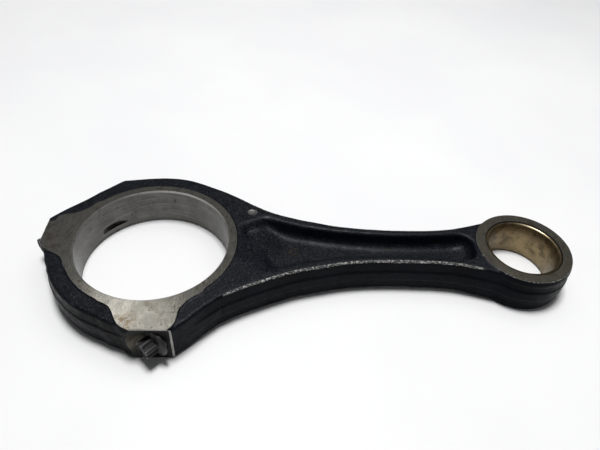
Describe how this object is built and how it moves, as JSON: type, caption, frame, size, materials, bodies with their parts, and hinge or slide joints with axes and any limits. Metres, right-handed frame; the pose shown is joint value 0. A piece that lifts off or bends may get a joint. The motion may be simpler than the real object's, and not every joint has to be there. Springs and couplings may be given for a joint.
{
  "type": "connecting rod",
  "caption": "Forged I-beam connecting rod with an oblique cracked big-end cap held by flanged bolts and a bronze-bushed small end.",
  "frame": {"origin": "centre of the big-end bore at mid-thickness", "axes": "+X towards the small end, +Z along both bore axes out of the upper thrust face, +Y to the side of the upper shoulder of the oblique split"},
  "size_m": [0.2319, 0.0929, 0.0178],
  "materials": {
    "forged_steel": "blue-black forged skin, fine grain, machined grey on the thrust faces, bores and bush seat",
    "forged_steel_cap": "blue-black forged skin, machined grey on the ears, thrust face and bore, bright grainy crack faces",
    "bush_bronze": "dull tin bronze, fine bored finish",
    "bolt_steel": "phosphated black, rolled thread"
  },
  "bodies": {
    "rod": {"rod": "forged_steel", "bush": "bush_bronze"},
    "cap": {"cap": "forged_steel_cap"},
    "bolt_near": {"bolt_near": "bolt_steel"},
    "bolt_far": {"bolt_far": "bolt_steel"}
  },
  "joints": [
    {"name": "cap_lift", "type": "slide", "parent": "rod", "child": "cap", "axis": [-0.7071, -0.7071, 0], "range_m": [0, 0.04]},
    {"name": "bolt_near_draw", "type": "slide", "parent": "cap", "child": "bolt_near", "axis": [-0.7071, -0.7071, 0], "range_m": [0, 0.045]},
    {"name": "bolt_far_draw", "type": "slide", "parent": "cap", "child": "bolt_far", "axis": [-0.7071, -0.7071, 0], "range_m": [0, 0.045]}
  ]
}
